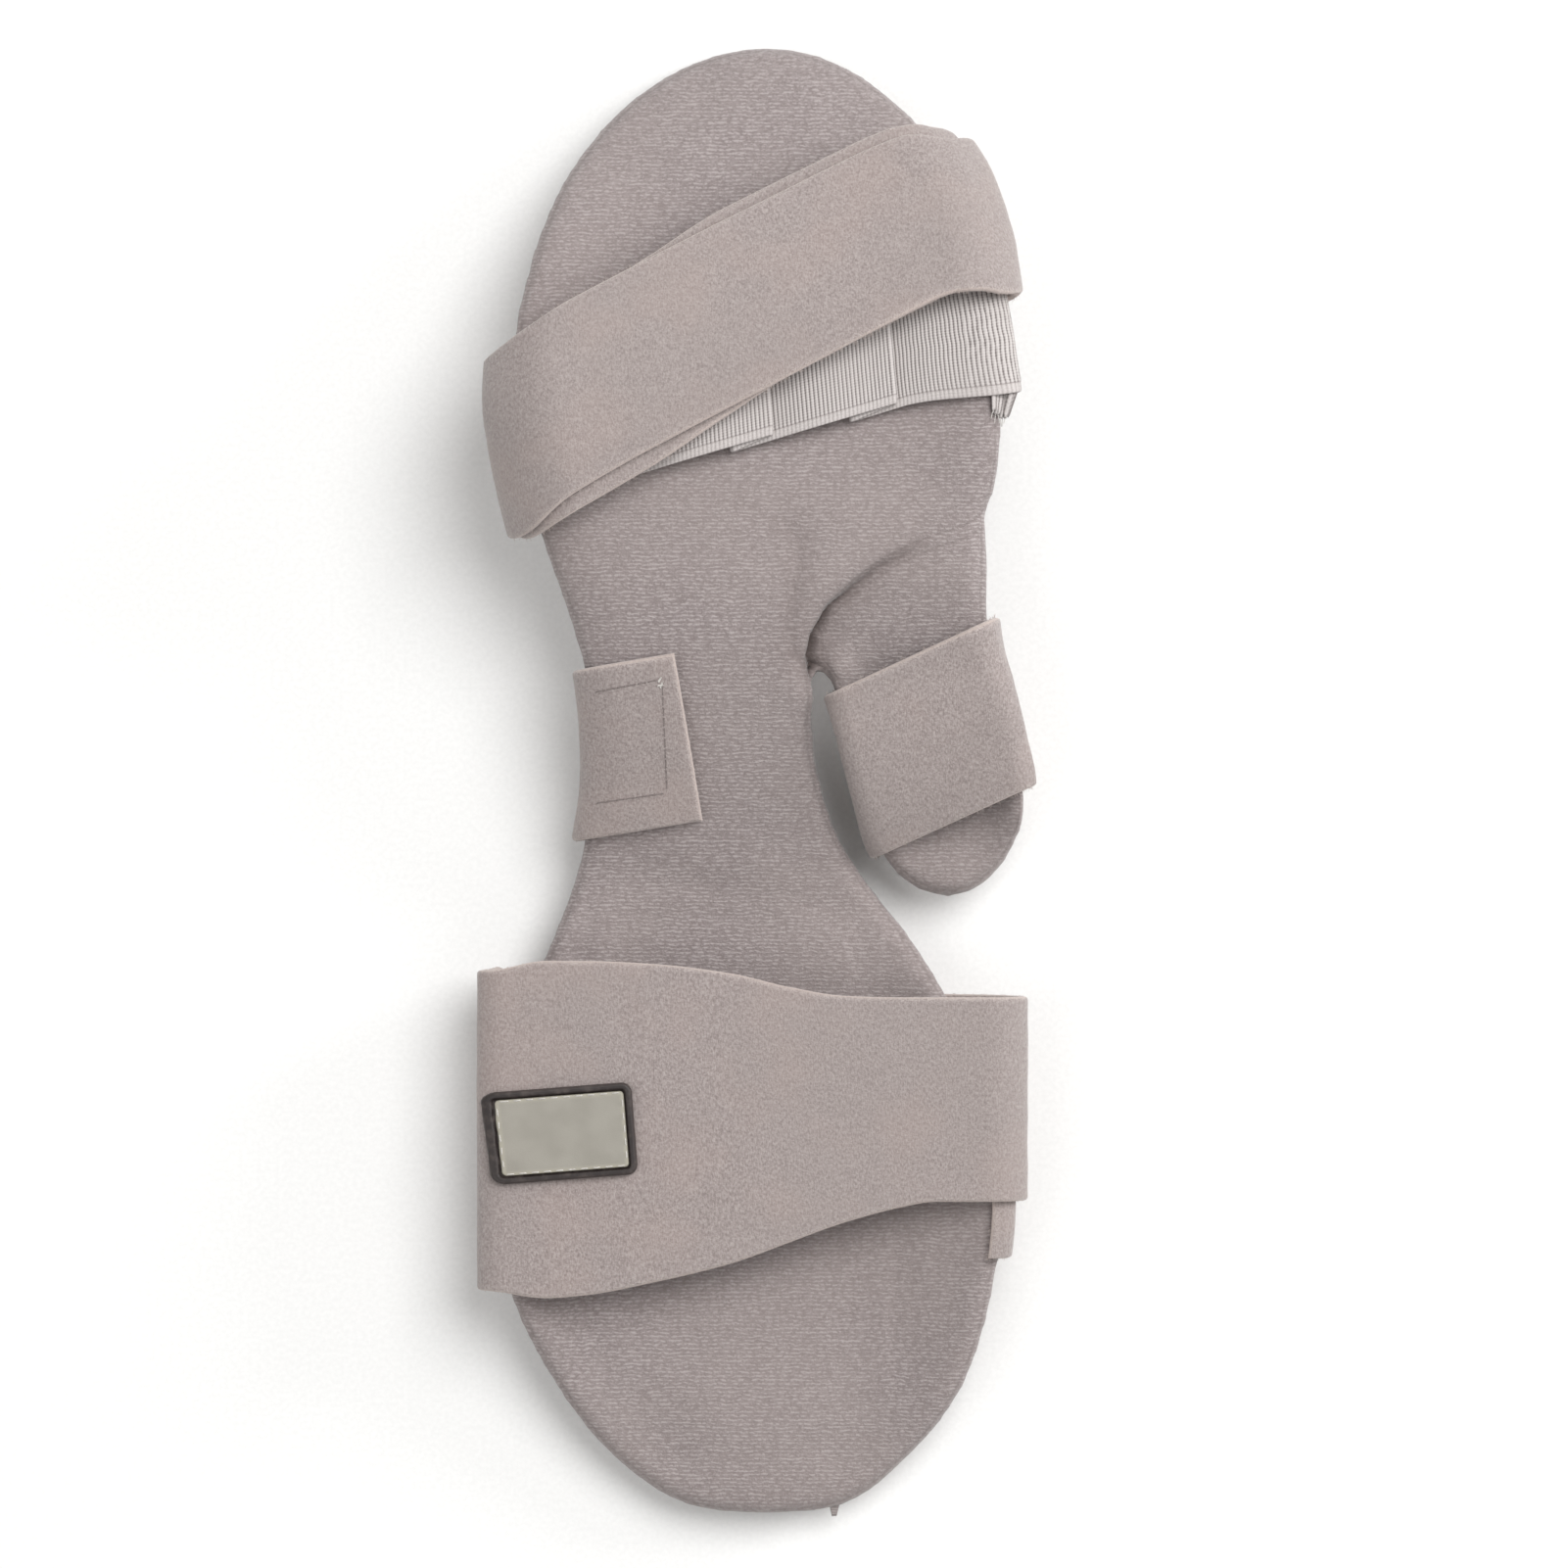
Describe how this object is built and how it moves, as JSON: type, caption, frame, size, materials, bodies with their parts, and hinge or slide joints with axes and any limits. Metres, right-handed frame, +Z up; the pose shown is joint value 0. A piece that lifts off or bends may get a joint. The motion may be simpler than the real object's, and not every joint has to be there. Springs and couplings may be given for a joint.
{
  "type": "resting hand splint",
  "caption": "Padded resting hand splint with forearm trough, finger pan, thumb trough, closing straps, pleated elastic finger loops and a bare label patch.",
  "frame": {"origin": "below the middle of the bounding box, on the surface that the splint lies on", "axes": "+Y from the elbow end to the fingertips, +X to the thumb side, +Z up and away from the surface"},
  "size_m": [0.133, 0.3556, 0.0565],
  "materials": {
    "knit": "brushed grey knit over padding",
    "strap": "brushed loop face laminated on thin foam",
    "elastic": "ribbed woven elastic",
    "rubber": "dark moulded rubber rim",
    "patch": "bare satin face",
    "tape": "grey binding tape end"
  },
  "bodies": {
    "root": {"splint_pad": "knit", "finger_loops": "elastic", "finger_strap": "strap", "thumb_strap": "strap", "wrist_strap": "strap", "forearm_anchor": "strap", "forearm_strap": "strap", "label_frame": "rubber", "label_face": "patch", "seam_tail": "tape"}
  },
  "joints": []
}
